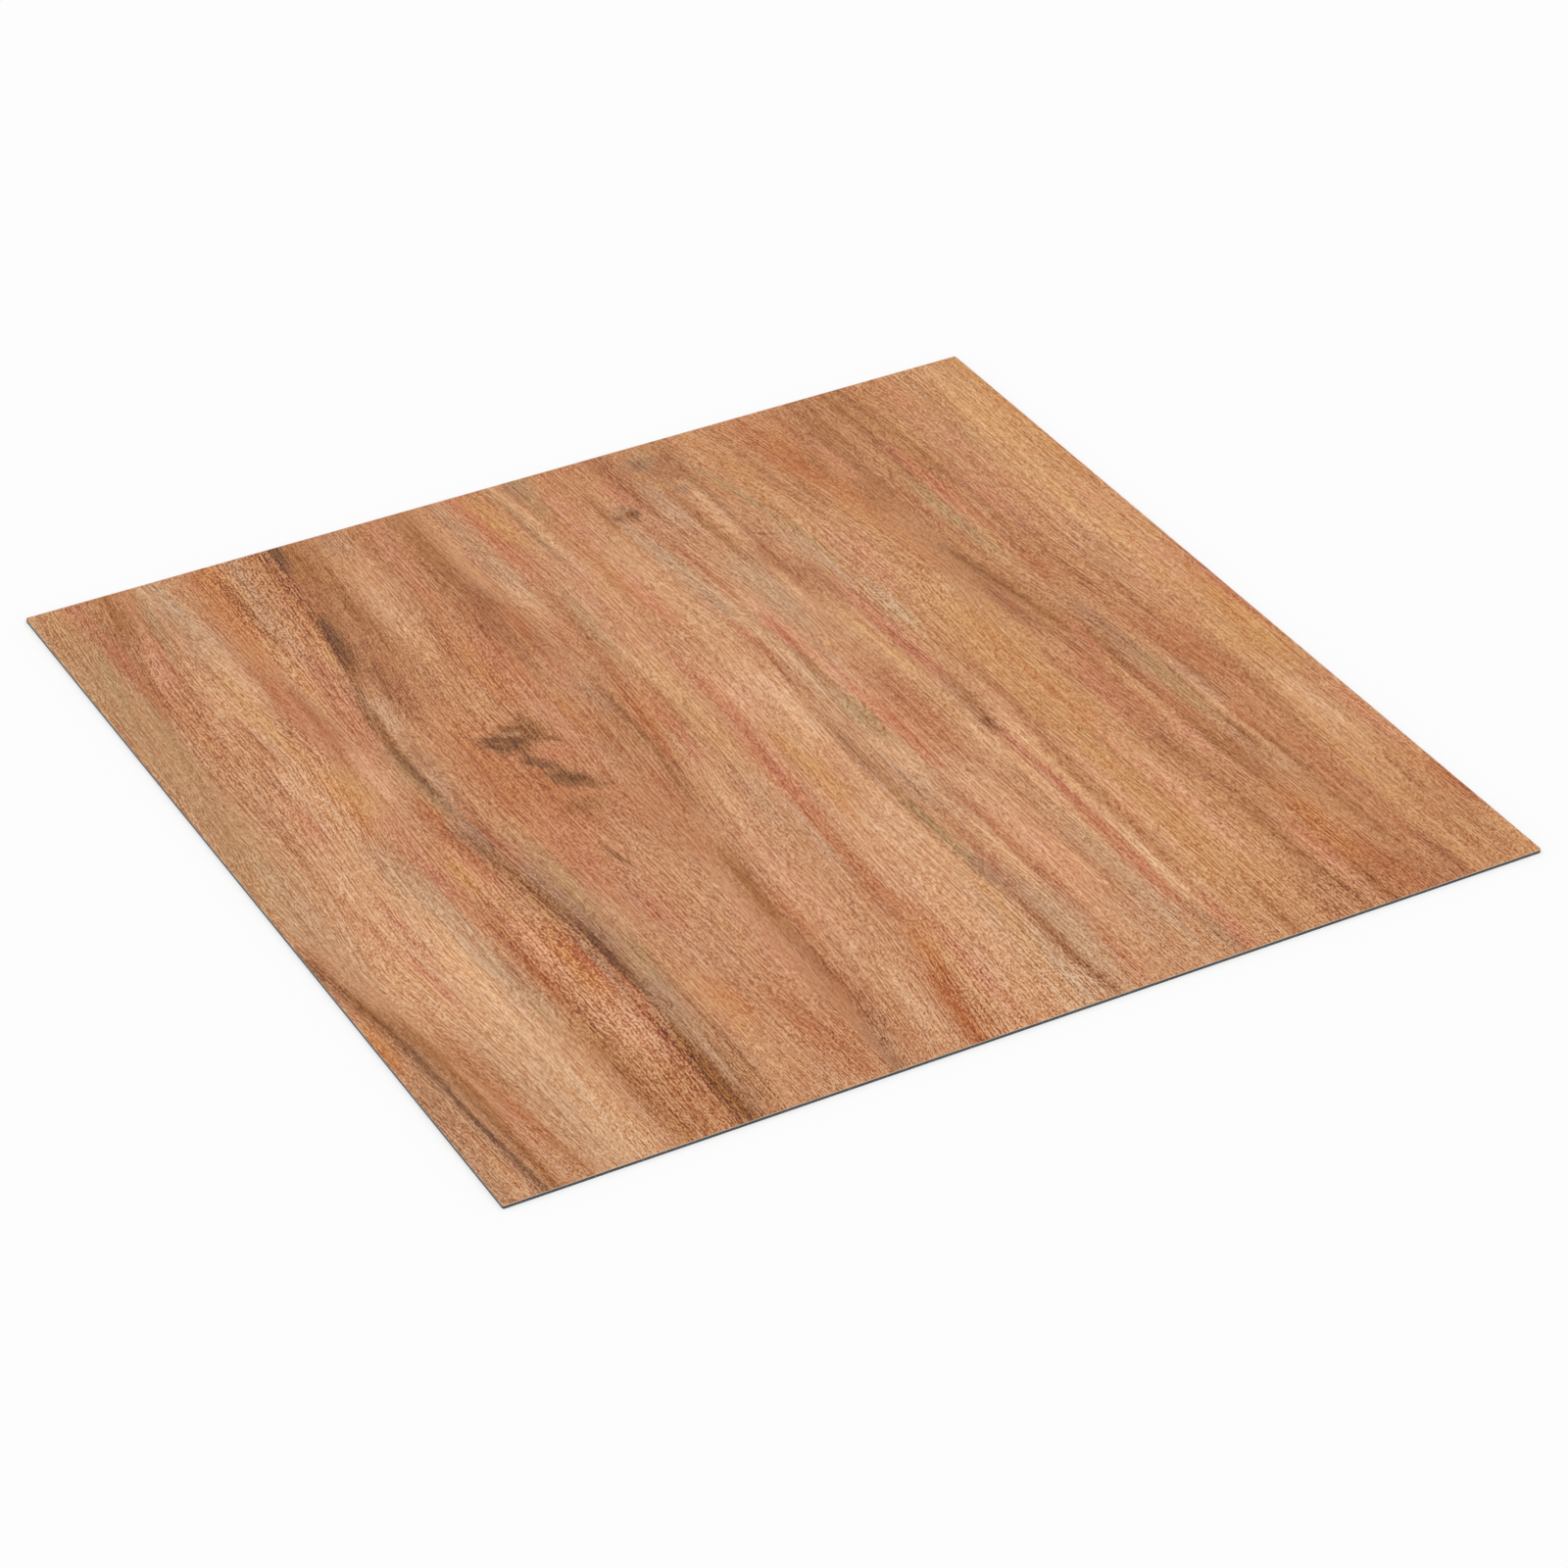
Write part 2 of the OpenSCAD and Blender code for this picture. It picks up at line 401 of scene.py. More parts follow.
    ("blush", 1.0, 1.0, (183, 212), (184, 198), (185, 178), (186, 150)),
    ("olive", 1.0, 0.9, (203, 292), (207, 272), (212, 250), (214.5, 228)),
    ("gold", 3.0, 0.5, (212, 296), (214, 265), (217, 240)),
    ("brown", 1.2, 0.9, (219, 300), (220, 275), (222.5, 250)),
    ("ash", 2.0, 0.7, (209.5, 244), (211.5, 222), (212, 204)),
    ("plum", 1.8, 0.8, (205.5, 224), (206, 198)),
    ("rose", 2.0, 0.7, (222, 234), (223, 196)),
    # Upper right
    ("rust", 1.2, 0.6, (240, 296), (238.5, 270)),
    ("umber", 1.0, 0.6, (250.5, 306), (249.5, 265)),
    ("plum", 1.2, 0.5, (261.5, 295), (263, 240)),
    ("brick", 1.0, 0.6, (257, 240), (258, 212)),
    ("rust", 1.0, 0.6, (262.5, 228), (264, 202)),
    ("rust", 2.0, 0.5, (285.5, 300), (286, 255)),
    ("wheat", 2.0, 0.6, (289, 235), (290, 200)),
    ("blush", 2.5, 0.4, (296, 226), (297, 200)),
    ("rust", 2.0, 0.4, (285, 200), (285, 150)),
    ("rust", 3.0, 0.9, (227, 302), (227.5, 284), (230, 264)),
    ("rust", 2.6, 0.7, (233, 288), (233, 268)),
    ("orange", 4.0, 0.9, (231, 286), (233, 262), (235, 238)),
    ("rust", 0.8, 0.9, (232.3, 282), (232.6, 264)),
    ("umber", 1.0, 0.8, (236.3, 278), (237, 260)),
    ("umber", 1.4, 0.6, (226, 266), (227, 246)),
    ("brown", 3.0, 0.8, (245, 302), (243, 280), (241.5, 264)),
    ("umber", 1.4, 0.8, (246.6, 300), (246, 275), (246, 242)),
    ("rose", 1.0, 0.7, (242, 280), (243.5, 254)),
    ("umber", 1.6, 0.7, (241, 256), (241, 236)),
    ("gold", 1.2, 0.5, (231.3, 244), (233, 222), (235, 198)),
    ("orange", 1.8, 0.5, (236, 242), (238, 222), (239.5, 200)),
    ("brown", 1.0, 0.8, (248, 246), (248, 220)),
    ("brown", 1.0, 0.8, (251.5, 248), (252, 225), (253.5, 196)),
    ("olive", 1.5, 0.9, (256, 250), (256, 230), (257, 200)),
    ("umber", 1.2, 1.0, (257, 314), (258, 290), (258.5, 270), (258.5, 246)),
    ("umber", 1.2, 1.0, (262, 314), (264, 290), (265.5, 265), (267, 242)),
    ("umber", 1.0, 0.8, (267.5, 254), (269, 230), (266, 200)),
    ("brick", 1.5, 0.9, (259.5, 268), (260, 250), (262, 224)),
    ("rose", 2.0, 0.4, (278, 294), (279, 272), (281, 240)),
    ("olive", 2.0, 0.4, (285, 300), (285, 270), (285, 244)),
    ("wheat", 5.0, 0.6, (292, 312), (292, 270), (291, 245), (290, 225)),
    ("gold", 1.5, 0.8, (303, 300), (303, 270), (302, 230)),
    ("rose", 2.0, 0.7, (270, 248), (272, 214)),
    ("brown", 0.8, 0.7, (280, 234), (279, 206)),
    # Middle
    ("slate", 1.4, 0.6, (170, 152), (170.5, 112)),
    ("cream", 2.0, 0.5, (166, 125), (165, 90)),
    ("slate", 1.0, 0.5, (175.5, 122), (175, 95)),
    ("ash", 1.2, 0.8, (182, 112), (184, 82)),
    ("brick", 0.8, 0.6, (186, 138), (186, 112)),
    ("rust", 1.4, 0.6, (118, 150), (117, 125)),
    ("ash", 1.0, 0.7, (143.5, 118), (141, 85)),
    ("rose", 3.0, 0.5, (106, 202), (107, 178), (106, 158)),
    ("orange", 1.6, 0.8, (112, 196), (112.5, 172)),
    ("brown", 1.5, 0.8, (116, 184), (117, 160), (114, 140)),
    ("slate", 1.2, 0.5, (120.5, 200), (122.5, 180)),
    ("bark", 0.8, 0.8, (125.5, 197), (124.5, 178), (124.8, 165), (124, 144)),
    ("umber", 1.5, 0.6, (124.3, 156), (122.3, 140), (121, 124)),
    ("orange", 2.6, 0.9, (131, 188), (130, 164)),
    ("rust", 1.3, 0.9, (128.5, 182), (127.5, 166), (125.5, 148)),
    ("brick", 1.5, 0.9, (134, 178), (134, 164), (132.5, 148)),
    ("rust", 1.0, 0.7, (133, 208), (131.5, 184)),
    ("wheat", 4.0, 0.8, (142, 204), (142, 170), (141, 138)),
    ("brown", 0.8, 0.9, (137.5, 196), (136.5, 170), (137.5, 146)),
    ("brick", 1.1, 0.8, (149.5, 196), (150.5, 165), (150.5, 146)),
    ("brick", 1.6, 0.9, (149, 158), (147.5, 138), (146.3, 118), (144.7, 98)),
    ("blush", 1.3, 0.9, (155, 186), (155.5, 160)),
    ("cream", 4.0, 0.8, (166, 178), (165, 155), (163, 134)),
    ("gold", 2.2, 0.8, (157, 148), (157, 106)),
    ("cream", 1.4, 0.6, (131, 146), (129, 126), (127, 104)),
    ("ash", 2.2, 0.4, (138, 134), (136, 100)),
    ("brick", 1.0, 0.8, (173, 204), (173.8, 182)),
    ("brown", 1.0, 1.0, (173.5, 188), (173, 170), (173.5, 160)),
    ("umber", 1.1, 0.8, (171, 140), (171, 122), (171, 100), (171.5, 84)),
    ("brick", 1.5, 0.8, (182, 204), (182.5, 180)),
    ("umber", 0.9, 0.7, (181.6, 182), (181.4, 168), (181.8, 154)),
    ("olive", 1.5, 1.0, (181.5, 156), (181.7, 130)),
    ("cream", 2.0, 0.8, (179, 134), (180.5, 108)),
    ("rose", 1.3, 0.9, (185.5, 168), (186, 132)),
    ("rust", 3.0, 0.7, (196, 166), (195, 145), (195, 116)),
    ("brick", 1.3, 0.8, (189, 150), (188, 114)),
    # Middle right
    ("cream", 1.6, 0.8, (205.5, 128), (206.5, 100)),
    ("slate", 1.4, 0.6, (210.5, 152), (209.8, 128)),
    ("blush", 1.5, 0.6, (217.5, 138), (217, 110)),
    ("olive", 1.4, 0.7, (243, 138), (247.5, 98)),
    ("umber", 1.2, 0.7, (250.5, 152), (250.5, 100)),
    ("wheat", 1.2, 0.8, (253.5, 135), (255, 100)),
    ("slate", 1.2, 0.9, (268.5, 124), (270.5, 102)),
    ("umber", 1.4, 0.6, (284.5, 125), (283, 70)),
    ("brick", 2.0, 0.9, (209.5, 204), (209, 168), (211, 146)),
    ("umber", 1.5, 0.7, (211.5, 150), (210.8, 130), (210, 118)),
    ("soot", 1.2, 0.6, (209.3, 128), (209.6, 119)),
    ("brick", 1.4, 1.1, (211, 120), (211, 98), (210.5, 76), (209.5, 50), (209, 26)),
    ("ash", 2.0, 0.8, (216, 204), (217.3, 176)),
    ("wheat", 2.0, 0.8, (203, 200), (204, 170), (204, 136)),
    ("umber", 4.0, 0.5, (244, 206), (250, 188), (256, 168)),
    ("brown", 1.4, 0.8, (220, 168), (221, 140), (219.5, 115), (218, 92)),
    ("bark", 1.0, 0.9, (245.5, 210), (247.3, 200), (249, 190), (250.6, 180), (252, 170)),
    ("plum", 2.0, 0.9, (245, 190), (245.6, 172), (247, 154)),
    ("umber", 1.6, 0.9, (252, 170), (253.5, 162), (255, 150)),
    ("brick", 1.2, 0.9, (256.3, 158), (255, 138)),
    ("umber", 1.1, 1.1, (257.8, 154), (257.8, 130), (258.2, 108), (258.4, 82)),
    ("brick", 2.0, 0.7, (260, 128), (260, 98)),
    ("slate", 2.0, 0.5, (261.5, 166), (262.5, 148), (263.5, 128)),
    ("olive", 2.0, 0.7, (263, 134), (264, 100)),
    ("rust", 1.3, 0.8, (264, 200), (263, 178)),
    ("brown", 2.0, 0.7, (270, 208), (270, 188)),
    ("umber", 1.1, 0.7, (269.5, 196), (270.5, 178), (271, 160)),
    ("rust", 2.0, 0.8, (271, 158), (273, 138), (276, 118)),
    ("brown", 1.5, 0.8, (278, 188), (277.5, 160), (277.5, 140)),
    ("rust", 3.0, 0.6, (280, 150), (280, 125), (281, 96)),
    ("cream", 1.0, 0.9, (269, 128), (269.5, 90)),
    ("plum", 1.0, 0.7, (272, 126), (273, 102)),
    ("ash", 2.6, 0.4, (284, 204), (283, 166)),
    ("wheat", 3.0, 0.7, (290.5, 215), (290, 160)),
    ("rose", 2.0, 0.7, (297, 186), (297, 148)),
    ("gold", 3.0, 0.9, (299, 160), (299, 108)),
    ("brick", 1.2, 0.8, (303.5, 174), (304, 132)),
    ("orange", 0.8, 0.7, (233, 152), (233.5, 125), (233, 98)),
    ("brick", 1.5, 0.8, (243, 138), (244, 118), (246, 92)),
    ("brick", 3.0, 0.6, (248, 144), (249, 98)),
    # Lower middle
    ("brick", 1.0, 0.6, (118.5, 90), (119, 55)),
    ("gold", 1.2, 0.6, (144.5, 55), (145, 20)),
    ("cream", 3.0, 0.35, (128, 50), (126, 0)),
    ("cream", 1.0, 0.8, (195, 70), (197, 42)),
    ("ash", 1.0, 0.9, (183, 50), (183.5, 25)),
    ("slate", 1.6, 0.6, (175, 45), (173.5, 0)),
    ("cream", 1.2, 0.7, (189, 50), (190, 15)),
    ("umber", 2.0, 1.0, (118.5, 108), (115.3, 85), (114.5, 64)),
    ("plum", 2.0, 0.9, (114.5, 64), (115, 45), (116, 33), (114.5, 18)),
    ("slate", 2.4, 0.5, (114, 24), (111, 6), (109, -10)),
    ("rose", 2.5, 0.6, (109, 84), (107, 60), (106, 42)),
    ("rust", 2.6, 0.6, (100, 38), (102, 20), (103, 0)),
    ("blush", 2.5, 0.7, (126, 104), (126, 56)),
    ("rust", 1.5, 0.8, (145.5, 108), (144.3, 82), (143.2, 56), (141.8, 40)),
    ("orange", 1.5, 0.8, (141, 52), (140.5, 34), (138, 22)),
    ("rust", 2.3, 1.1, (138.5, 34), (135.3, 18), (134, 6), (132.5, -12)),
    ("rose", 2.0, 0.8, (148, 54), (148, 30), (147, 0)),
    ("olive", 1.1, 0.9, (170.5, 108), (171, 86), (172, 64)),
    ("slate", 1.2, 0.8, (171.5, 74), (172.3, 64), (173.3, 52)),
    ("umber", 1.2, 0.8, (173.5, 58), (173, 40), (173, 25), (174.5, 4)),
    ("cream", 1.0, 0.8, (165, 106), (165, 66)),
    ("wheat", 1.6, 0.7, (167, 70), (168, 50), (165, 24)),
    ("brown", 1.2, 0.8, (176.5, 96), (176.5, 70)),
    ("brick", 1.0, 0.7, (176, 72), (176, 50)),
    ("ash", 2.6, 0.8, (178, 60), (179.3, 32), (179, 10)),
    ("cream", 1.0, 0.8, (181, 100), (182, 75), (181.5, 48)),
    ("rust", 1.3, 0.9, (183.5, 104), (185.5, 80), (185.8, 62), (185, 40)),
    ("brick", 1.2, 0.5, (184.3, 30), (183.3, 16), (183, 0)),
    ("blush", 3.5, 0.8, (191, 90), (192, 40)),
    ("brown", 1.5, 0.6, (199, 74), (199, 38)),
    # Lower right
    ("plum", 1.4, 0.5, (262, 90), (261.5, 60)),
    ("cream", 0.8, 0.7, (269, 90), (271, 60)),
    ("rust", 1.4, 1.0, (256, 40), (259, 12)),
    ("plum", 3.0, 0.5, (243, 30), (244, -10)),
    ("umber", 1.4, 0.6, (228.5, 30), (229, -5)),
    ("brick", 1.6, 0.7, (215.5, 28), (214.5, -5)),
    ("slate", 1.4, 0.6, (210, 24), (211.5, -5)),
    ("gold", 1.0, 0.5, (223, 110), (222, 75)),
    ("cream", 1.5, 0.9, (213.6, 130), (213, 100)),
    ("cream", 1.3, 0.8, (207.3, 100), (206, 56)),
    ("cream", 1.3, 0.9, (214.3, 96), (213.5, 60), (213, 22)),
    ("ash", 2.2, 0.7, (203, 74), (203, 8)),
    ("brown", 1.4, 0.8, (218, 104), (217.5, 75), (216.5, 44)),
    ("blush", 1.2, 0.8, (222.3, 106), (221.5, 52)),
    ("brown", 1.0, 0.7, (232, 100), (232, 66)),
    ("blush", 2.0, 0.8, (235, 106), (236, 70), (236.3, 40)),
    ("brown", 2.6, 0.9, (244.5, 106), (247, 82), (247.6, 52)),
    ("umber", 1.5, 0.8, (249.7, 62), (249, 35), (250.5, -8)),
    ("rose", 1.5, 0.8, (254, 102), (254.5, 76)),
    ("rose", 1.6, 0.8, (253, 46), (253.8, 8)),
    ("umber", 1.3, 0.7, (258.2, 104), (259, 84), (260.2, 54)),
    ("orange", 2.6, 0.9, (261, 56), (262, 18)),
    ("rust", 1.8, 0.9, (265.5, 28), (266.3, 8)),
    ("plum", 2.2, 0.9, (258.5, 20), (259, -8)),
    ("rust", 4.0, 0.7, (268, 18), (268, -10)),
    ("plum", 3.2, 0.8, (275, 10), (276, -20)),
    ("plum", 2.0, 0.9, (281, 24), (281, -8)),
    ("ash", 2.0, 0.4, (266, 100), (267, 62)),
    ("umber", 0.9, 0.9, (267.5, 96), (267.5, 74)),
    ("rust", 1.1, 0.9, (271.5, 98), (271.5, 80)),
    ("umber", 0.8, 0.9, (272, 84), (272, 58)),
    ("umber", 1.0, 0.9, (272.3, 58), (273, 36), (274.5, 16)),
    ("rust", 2.2, 0.8, (278, 82), (278, 44)),
    ("rust", 1.4, 0.6, (278.5, 36), (278, 18)),
    ("brown", 1.0, 0.8, (281, 58), (282, 26)),
    ("cream", 3.0, 0.7, (293, 108), (293, 60)),
    ("rose", 1.5, 0.7, (301, 100), (302, 56)),
    ("rust", 1.5, 0.9, (303, 48), (303, 26)),
    ("brown", 1.5, 0.6, (291, 44), (290, 20), (291, -6)),
)

# Knots and smudges that the fibres don't follow: tint, strength, centre (across, along),
# half sizes (across, along) and how many degrees they are turned clockwise
BLOTS = (
    # Big knot
    ("rust", 0.45, (89, 166), (18, 30), 0),
    ("bark", 0.85, (96.5, 182.5), (7.5, 6.5), 20),
    ("soot", 0.75, (89.6, 180), (8.5, 5.2), 35),
    ("soot", 0.9, (90, 181.6), (7.5, 1.7), 35),
    ("soot", 0.8, (88.6, 178.2), (7, 1.3), 35),
    ("soot", 0.6, (93.7, 186.4), (4.5, 1.3), 35),
    ("ash", 0.45, (92.6, 183.6), (3, 1.5), 35),
    ("bark", 0.6, (99.5, 185), (2.4, 7), -10),
    ("bark", 0.9, (101, 177), (5.5, 1.3), 45),
    ("bark", 0.5, (92.5, 172), (2.2, 4), -10),
    ("soot", 0.8, (93.8, 167), (6, 3.0), 45),
    ("soot", 0.7, (95.4, 161), (3.4, 3.2), 20),
    ("soot", 0.95, (97.6, 156), (6.5, 4.2), 40),
    ("bark", 0.7, (101.5, 151), (6, 2.2), 35),
    ("brick", 0.8, (99, 170), (4, 4), 0),
    ("umber", 0.7, (95, 143), (7, 5), 0),
    # Small knot beyond it, with the smudges on its right
    ("slate", 0.6, (174, 272), (6, 6), 0),
    ("bark", 0.8, (170.5, 270.5), (1.8, 1.8), 0),
    ("bark", 0.95, (175.5, 270.5), (3.0, 2.6), 0),
    ("umber", 0.6, (174, 267.5), (3, 1.8), 0),
    ("umber", 0.5, (168.5, 274), (0.9, 3), 0),
    ("umber", 0.6, (178.3, 296), (0.9, 3), 20),
    ("plum", 0.6, (195, 289), (8, 8), 0),
    ("slate", 0.6, (190, 295), (6, 5), 0),
    ("bark", 0.6, (189.5, 294), (1.6, 3.4), 30),
    ("slate", 0.6, (194.5, 276), (2.6, 3.4), 20),
    ("bark", 0.5, (204, 242), (5, 1.0), 35),
    # End of the streak on the right
    ("bark", 0.6, (209.4, 124), (1.7, 3.6), 0),
    # Dark tip of the long streak at the back edge
    ("soot", 0.9, (76, 302), (2.2, 7.0), 0),
)

# Printed fibres and pores, with painted highlights of the embossing in their pale ticks: cells in a
# millimetre across and along, and how far they swing
FIBRES_AND_GLINTS = (
    (2.8, 0.03, 1.05),
    (3.4, 0.25, 1.25),
    (4.4, 0.90, 1.85),
)
# A pale tick, partly a painted highlight of the embossing, has its colour raised to a lower power and
# scaled up, a dark one the reverse, which shifts red, green and blue by about the same step
FIBRE_AND_GLINT_POWER = 1.25
FIBRE_AND_GLINT_SCALE = 0.23

# Palest that a fibre or its painted highlight gets, as a swing
FIBRE_AND_GLINT_LIMIT = 0.28

# Turn of the noise that the fibres and their painted highlights come from, so that their ends don't line
# up
FIBRE_AND_GLINT_TURN = 0.6


def add_camera():
    """Adds the camera that the photograph was taken with."""
    back = Vector(
        (
            math.sin(CAMERA_YAW) * math.cos(CAMERA_ELEVATION),
            -math.cos(CAMERA_YAW) * math.cos(CAMERA_ELEVATION),
            math.sin(CAMERA_ELEVATION),
        )
    )
    level_right = Vector((math.cos(CAMERA_YAW), math.sin(CAMERA_YAW), 0))
    level_up = back.cross(level_right)
    right = math.cos(CAMERA_ROLL) * level_right + math.sin(CAMERA_ROLL) * level_up
    up = back.cross(right)
    data = bpy.data.cameras.new("photo_camera")
    data.sensor_width = 36
    data.lens = CAMERA_LENS
    data.clip_start = 0.01
    data.clip_end = 50
    camera = bpy.data.objects.new("photo_camera", data)
    place = Matrix((right, up, back)).transposed().to_4x4()
    place.translation = CAMERA_TARGET + CAMERA_DISTANCE * back
    camera.matrix_world = place
    bpy.context.scene.collection.objects.link(camera)
    bpy.context.scene.camera = camera


add_camera()


def to_linear(colour):
    """Linear light for a colour that is written from 0 to 255."""
    share = np.asarray(colour, float) / 255
    return np.where(share < 0.04045, share / 12.92, ((share + 0.055) / 1.055) ** 2.4)


def to_print(colour):
    """Linear colour of the print under its coat, for one that the photograph shows from 0 to 255."""
    return np.clip((to_linear(colour) - COAT_VEIL) / LAMP_GAIN, 0.004, 1)


def smooth(value):
    """Smooth step of a value from 0 to 1."""
    share = np.clip(value, 0, 1)
    return share * share * (3 - 2 * share)


def value_noise(rng, across, along, cell_across, cell_along):
    """Smooth noise from -1 to 1 with cells of the given size, for arrays of places."""
    columns = (across + NOISE_MARGIN) / cell_across
    rows = (along + NOISE_MARGIN) / cell_along
    most_columns = int((PRINT_WIDTH + 2 * NOISE_MARGIN) / cell_across)
    most_rows = int((PRINT_LENGTH + 2 * NOISE_MARGIN) / cell_along)
    grid = rng.uniform(-1, 1, (most_rows + 2, most_columns + 2))
    column = columns.astype(int)
    row = rows.astype(int)
    mix_across = smooth(columns - column)
    mix_along = smooth(rows - row)
    near = grid[row, column] * (1 - mix_across) + grid[row, column + 1] * mix_across
    far = grid[row + 1, column] * (1 - mix_across) + grid[row + 1, column + 1] * mix_across
    return near * (1 - mix_along) + far * mix_along


def grain_across(across, along):
    """Which fibre passes through each place, named by where it lies at the middle of the tile."""
    middle = FLOW_ALONG.index(150)
    fibre = np.empty_like(across)
    for row in range(across.shape[0]):
        here = [np.interp(along[row, 0], FLOW_ALONG, line) for line in FLOW_LINES]
        fibre[row] = np.interp(across[row], here, [line[middle] for line in FLOW_LINES])
    return fibre


def streak_cover(across, along, half_width, points):
    """How much a streak covers each place, from 0 to 1."""
    path = np.array(sorted(points, key=lambda point: point[1]), float)
    near_end, far_end = path[0, 1], path[-1, 1]
    fade = min(FADE_LONGEST, 0.35 * (far_end - near_end))
    centre = np.interp(along, path[:, 1], path[:, 0])
    bell = np.exp(-(((across - centre) / (STREAK_SPREAD * half_width)) ** 2))
    inside = np.minimum(along - near_end, far_end - along)
    return STREAK_STRENGTH * bell * smooth(0.5 + 0.5 * inside / fade)


def draw_figure(rng, across, along, fibre):
    """The figure of the wood as linear colours, one for each place on the face."""
    colour = np.broadcast_to(np.array(TINTS["ground"], float), across.shape + (3,)).copy()
    ragged = 0.35 * value_noise(rng, fibre, along, 2.0, 16.0)
    broken = value_noise(rng, fibre, along, 0.9, 32.0)
    for tint, half_width, strength, *points in STREAKS:
        cover = streak_cover(across + ragged, along, half_width, points)
        cover = np.clip(strength * cover * (1 + 0.35 * broken), 0, 1)
        colour += cover[..., None] * (np.array(TINTS[tint], float) - colour)
    ground = np.array(TINTS["ground"], float)
    return to_print(ground + FIGURE_CONTRAST * (colour - ground))


def grid_lines(length, pitch):
    """Places of the grid lines over one side of the tile, close together at its rim."""
    turn = [math.radians(90 * step / RIM_STEPS) for step in range(RIM_STEPS + 1)]
    rim = [RIM_RADIUS * (1 - math.cos(angle)) for angle in turn]
    corner = list(np.linspace(RIM_RADIUS, CORNER_RADIUS, CORNER_STEPS + 1)[1:])
    start = np.array(rim + corner)
    steps = round((length - 2 * CORNER_RADIUS) / pitch)
    inner = np.linspace(CORNER_RADIUS, length - CORNER_RADIUS, steps + 1)[1:-1]
    return np.concatenate([start, inner, length - start[::-1]])


def round_corners(across, along):
    """Moves the grid's corner squares onto quarter discs and gives each point's depth inside."""
    from_left = across
    from_right = PRINT_WIDTH - across
    from_front = along
    from_back = PRINT_LENGTH - along
    side_across = np.minimum(from_left, from_right)
    side_along = np.minimum(from_front, from_back)
    inside = np.minimum(side_across, side_along)
    reach_across = np.clip(CORNER_RADIUS - side_across, 0, None)
    reach_along = np.clip(CORNER_RADIUS - side_along, 0, None)
    reach = np.hypot(reach_across, reach_along)
    longest = np.maximum(reach_across, reach_along)
    squeeze = np.divide(longest, reach, out=np.ones_like(reach), where=reach > 0)
    in_corner = (reach_across > 0) & (reach_along > 0)
    shift_across = np.where(in_corner, reach_across * (1 - squeeze), 0)
    shift_along = np.where(in_corner, reach_along * (1 - squeeze), 0)
    across = across + np.where(from_left < from_right, shift_across, -shift_across)
    along = along + np.where(from_front < from_back, shift_along, -shift_along)
    return across, along, inside


def emboss(rng, fibre, along, inside):
    """How far the grain is pressed into the face at each place, in millimetres."""
    broad = value_noise(rng, fibre, along, 3.2, 40.0)
    narrow = value_noise(rng, fibre, along, 1.3, 16.0)
    fine = value_noise(rng, fibre, along, 1.3, 6.0)
    groove = np.clip(0.25 + 0.45 * broad + 0.65 * narrow + 0.35 * fine, 0, 1)
    margin = smooth((inside - RIM_RADIUS) / EMBOSS_MARGIN)
    return EMBOSS_DEPTH * groove * margin


def build_print():
    """The face layer as one closed mesh with the grain pressed into its top."""
    rng = np.random.default_rng(SEED)
    lines_across = grid_lines(PRINT_WIDTH, PITCH_ACROSS)
    lines_along = grid_lines(PRINT_LENGTH, PITCH_ALONG)
    across, along = np.meshgrid(lines_across, lines_along)
    fibre = grain_across(across, along)
    figure = draw_figure(rng, across, along, fibre)
    placed_across, placed_along, inside = round_corners(across, along)
    under_rim = np.clip(RIM_RADIUS - inside, 0, RIM_RADIUS)
    drop = RIM_RADIUS - np.sqrt(RIM_RADIUS**2 - under_rim**2)
    height = face_high.z - MM * (drop + emboss(rng, fibre, along, inside))
    top = np.stack(
        [face_low.x + MM * placed_across, face_low.y + MM * placed_along, height], axis=-1
    )
    rows, columns = across.shape
    number = np.arange(rows * columns).reshape(rows, columns)
    rim = np.concatenate(
        [number[0, :-1], number[:-1, -1], number[-1, :0:-1], number[:0:-1, 0]]
    )
    points = top.reshape(-1, 3)
    foot = points[rim].copy()
    foot[:, 2] = face_low.z
    foot_number = np.arange(len(rim)) + len(points)
    quads = np.stack(
        [number[:-1, :-1], number[:-1, 1:], number[1:, 1:], number[1:, :-1]], axis=-1
    ).reshape(-1, 4)
    following = np.roll(np.arange(len(rim)), -1)
    sides = np.stack([foot_number, foot_number[following], rim[following], rim], axis=-1)
    faces = quads.tolist() + sides.tolist() + underside(foot_number, rows, columns)

    mesh = bpy.data.meshes.new("embossed_print")
    mesh.from_pydata(np.concatenate([points, foot]).tolist(), [], faces)
    store_print(mesh, figure, fibre, along, rim)
    side_start = len(quads)
    edge_index = np.zeros(len(faces), np.int32)
    edge_index[side_start:] = 1
    mesh.polygons.foreach_set("material_index", edge_index)
    mesh.polygons.foreach_set("use_smooth", np.arange(len(faces)) < side_start)
    mesh.update()
    piece = bpy.data.objects.new("embossed_print", mesh)
    bpy.context.scene.collection.objects.link(piece)
    return piece


def underside(foot, rows, columns):
    """Faces that close the mesh below: one strip for each row of the grid."""
    front = foot[:columns]
    right = foot[columns - 1 : columns - 1 + rows]
    back = foot[columns + rows - 2 : 2 * columns + rows - 2]
    left = np.concatenate([foot[:1], foot[2 * columns + rows - 3 :][::-1]])
    strips = [[left[row], left[row + 1], right[row + 1], right[row]] for row in range(1, rows - 2)]
    first = [left[1], right[1]] + front[::-1].tolist()
    last = [right[rows - 2], left[rows - 2]] + back[::-1].tolist()
    return [[int(point) for point in face] for face in [first, *strips, last]]


